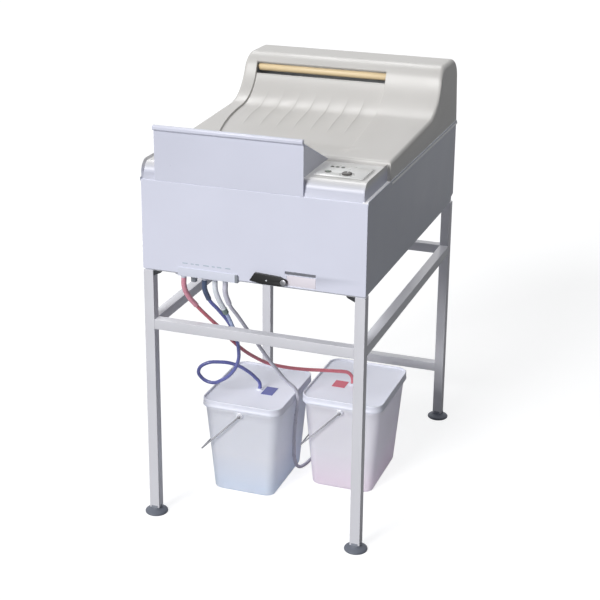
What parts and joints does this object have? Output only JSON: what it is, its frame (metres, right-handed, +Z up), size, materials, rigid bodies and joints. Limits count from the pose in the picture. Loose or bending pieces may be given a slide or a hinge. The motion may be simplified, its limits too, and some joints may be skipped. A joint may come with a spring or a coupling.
{
  "type": "x-ray film processor",
  "caption": "Desk-height roller processor for x-ray film on an open tube stand, with a catch tray in front, a drying tower behind and hoses to lidded pails below.",
  "frame": {"origin": "on the floor, under the middle of the machine", "axes": "+Z up, +X to the machine's right, -Y towards the operator"},
  "size_m": [0.634, 0.914, 1.1436],
  "materials": {
    "stand_paint": "satin light grey",
    "foot_plastic": "matt dark grey",
    "pan_steel": "dull, dark",
    "panel_paint": "satin white",
    "steel": "bright",
    "white_plastic": "satin white",
    "plate_plastic": "fine satin",
    "lamp_plastic": "clear coloured lens",
    "knob_plastic": "fine matt",
    "button_plastic": "fine matt",
    "black_plastic": "satin black",
    "manifold_plastic": "satin",
    "red_vinyl": "soft shine",
    "blue_vinyl": "soft shine",
    "lilac_vinyl": "milky, soft shine",
    "pale_blue_vinyl": "milky, soft shine",
    "cover_plastic": "fine grained warm white",
    "tray_plastic": "satin white",
    "tank_plastic": "welded sheet, matt",
    "rack_plastic": "matt",
    "drum_plastic": "satin",
    "dark_rubber": "matt",
    "tan_rubber": "matt silicone",
    "duct_steel": "plain sheet",
    "housing_plastic": "matt",
    "motor_paint": "satin",
    "pump_plastic": "satin",
    "board_plastic": "coated board",
    "pail_plastic": "slightly waxy white",
    "lid_plastic": "slightly waxy pale grey",
    "tag_plastic": "thin printed film, left blank",
    "grip_plastic": "satin"
  },
  "bodies": {
    "machine": {"leg_front_left": "stand_paint", "leg_front_right": "stand_paint", "leg_rear_left": "stand_paint", "leg_rear_right": "stand_paint", "front_rail": "stand_paint", "side_rails": "stand_paint", "rear_rails": "stand_paint", "base_pan": "pan_steel", "front_panel": "panel_paint", "left_panel": "panel_paint", "right_panel": "panel_paint", "rear_panel": "panel_paint", "rear_panel_screws": "steel", "console": "white_plastic", "control_plate": "plate_plastic", "indicator_lamps": "lamp_plastic", "service_plate": "plate_plastic", "lever_pivot": "steel", "hose_manifold": "manifold_plastic", "red_hose": "red_vinyl", "blue_hose": "blue_vinyl", "lilac_hose": "lilac_vinyl", "overflow_hose": "pale_blue_vinyl", "tank": "tank_plastic", "developer_rack": "rack_plastic", "fixer_rack": "rack_plastic", "wash_rack": "rack_plastic", "dryer_duct": "duct_steel", "blower_housing": "housing_plastic", "drive_motor": "motor_paint", "circulation_pumps": "pump_plastic", "control_board": "board_plastic", "mains_inlet": "black_plastic", "pail_left": "pail_plastic", "pail_right": "pail_plastic", "pail_lid_left": "lid_plastic", "pail_lid_right": "lid_plastic", "lid_tags": "tag_plastic"},
    "bail_left": {"bail_left": "steel", "bail_grip_left": "grip_plastic"},
    "bail_right": {"bail_right": "steel", "bail_grip_right": "grip_plastic"},
    "blower_wheel": {"blower_wheel": "black_plastic"},
    "catch_tray": {"catch_tray": "tray_plastic"},
    "developer_drum": {"developer_drum": "drum_plastic"},
    "drain_lever": {"drain_lever": "black_plastic"},
    "drive_shaft": {"drive_shaft": "steel"},
    "exit_roller_lower": {"exit_roller_lower": "tan_rubber"},
    "exit_roller_upper": {"exit_roller_upper": "dark_rubber"},
    "feed_roller_lower": {"feed_roller_lower": "dark_rubber"},
    "feed_roller_upper": {"feed_roller_upper": "dark_rubber"},
    "fixer_drum": {"fixer_drum": "drum_plastic"},
    "foot_front_left": {"foot_front_left": "foot_plastic"},
    "foot_front_right": {"foot_front_right": "foot_plastic"},
    "foot_rear_left": {"foot_rear_left": "foot_plastic"},
    "foot_rear_right": {"foot_rear_right": "foot_plastic"},
    "standby_button": {"standby_button": "button_plastic"},
    "temperature_knob": {"temperature_knob": "knob_plastic"},
    "top_cover": {"top_cover": "cover_plastic"},
    "wash_drum": {"wash_drum": "drum_plastic"}
  },
  "joints": [
    {"name": "foot_front_left_turn", "type": "hinge", "parent": "machine", "child": "foot_front_left", "pos_m": [-0.286, -0.426, 0.03], "axis": [0, 0, 1], "continuous": true},
    {"name": "foot_front_right_turn", "type": "hinge", "parent": "machine", "child": "foot_front_right", "pos_m": [0.286, -0.426, 0.03], "axis": [0, 0, 1], "continuous": true},
    {"name": "foot_rear_left_turn", "type": "hinge", "parent": "machine", "child": "foot_rear_left", "pos_m": [-0.286, 0.426, 0.03], "axis": [0, 0, 1], "continuous": true},
    {"name": "foot_rear_right_turn", "type": "hinge", "parent": "machine", "child": "foot_rear_right", "pos_m": [0.286, 0.426, 0.03], "axis": [0, 0, 1], "continuous": true},
    {"name": "temperature_knob_turn", "type": "hinge", "parent": "machine", "child": "temperature_knob", "pos_m": [0.224, -0.372, 1.002], "axis": [0, 0, 1], "range_deg": [0, 270]},
    {"name": "standby_button_press", "type": "slide", "parent": "machine", "child": "standby_button", "axis": [0, 0, -1], "range_m": [0, 0.0015], "stiffness_N_per_m": 200, "springref_m": -0.0005},
    {"name": "drain_lever_swing", "type": "hinge", "parent": "machine", "child": "drain_lever", "pos_m": [0.088, -0.445, 0.726], "axis": [0, -1, 0], "range_deg": [0, 90]},
    {"name": "top_cover_lift", "type": "slide", "parent": "machine", "child": "top_cover", "axis": [0, 0, 1], "range_m": [0, 0.2]},
    {"name": "catch_tray_lift", "type": "slide", "parent": "machine", "child": "catch_tray", "axis": [0, 0, 1], "range_m": [0, 0.08]},
    {"name": "developer_drum_spin", "type": "hinge", "parent": "machine", "child": "developer_drum", "pos_m": [0, -0.1425, 0.835], "axis": [1, 0, 0], "continuous": true},
    {"name": "fixer_drum_spin", "type": "hinge", "parent": "machine", "child": "fixer_drum", "pos_m": [0, 0.0175, 0.835], "axis": [1, 0, 0], "continuous": true},
    {"name": "wash_drum_spin", "type": "hinge", "parent": "machine", "child": "wash_drum", "pos_m": [0, 0.1775, 0.835], "axis": [1, 0, 0], "continuous": true},
    {"name": "feed_roller_lower_spin", "type": "hinge", "parent": "machine", "child": "feed_roller_lower", "pos_m": [0, -0.218, 0.97], "axis": [1, 0, 0], "continuous": true},
    {"name": "feed_roller_upper_spin", "type": "hinge", "parent": "machine", "child": "feed_roller_upper", "pos_m": [0, -0.218, 0.9863], "axis": [1, 0, 0], "continuous": true},
    {"name": "exit_roller_lower_spin", "type": "hinge", "parent": "machine", "child": "exit_roller_lower", "pos_m": [0, 0.28108, 1.10276], "axis": [1, 0, 0], "continuous": true},
    {"name": "exit_roller_upper_spin", "type": "hinge", "parent": "machine", "child": "exit_roller_upper", "pos_m": [0, 0.29629, 1.11464], "axis": [1, 0, 0], "continuous": true},
    {"name": "drive_shaft_spin", "type": "hinge", "parent": "machine", "child": "drive_shaft", "pos_m": [0.138, 0, 0.8895], "axis": [0, 1, 0], "continuous": true},
    {"name": "blower_wheel_spin", "type": "hinge", "parent": "machine", "child": "blower_wheel", "pos_m": [0.2, 0.36515, 1.025], "axis": [1, 0, 0], "continuous": true},
    {"name": "bail_left_swing", "type": "hinge", "parent": "machine", "child": "bail_left", "pos_m": [-0.105, -0.124, 0.245], "axis": [0, 1, 0], "range_deg": [0, 70]},
    {"name": "bail_right_swing", "type": "hinge", "parent": "machine", "child": "bail_right", "pos_m": [0.146, -0.006, 0.245], "axis": [0, 1, 0], "range_deg": [0, 10]}
  ],
  "couplings": [
    {"joint": "fixer_drum_spin", "follows": "developer_drum_spin", "ratio": 1},
    {"joint": "wash_drum_spin", "follows": "developer_drum_spin", "ratio": 1},
    {"joint": "feed_roller_lower_spin", "follows": "developer_drum_spin", "ratio": -7.25},
    {"joint": "feed_roller_upper_spin", "follows": "developer_drum_spin", "ratio": 7.25},
    {"joint": "exit_roller_lower_spin", "follows": "developer_drum_spin", "ratio": 5.2727},
    {"joint": "exit_roller_upper_spin", "follows": "developer_drum_spin", "ratio": -7.25},
    {"joint": "drive_shaft_spin", "follows": "developer_drum_spin", "ratio": 10}
  ]
}
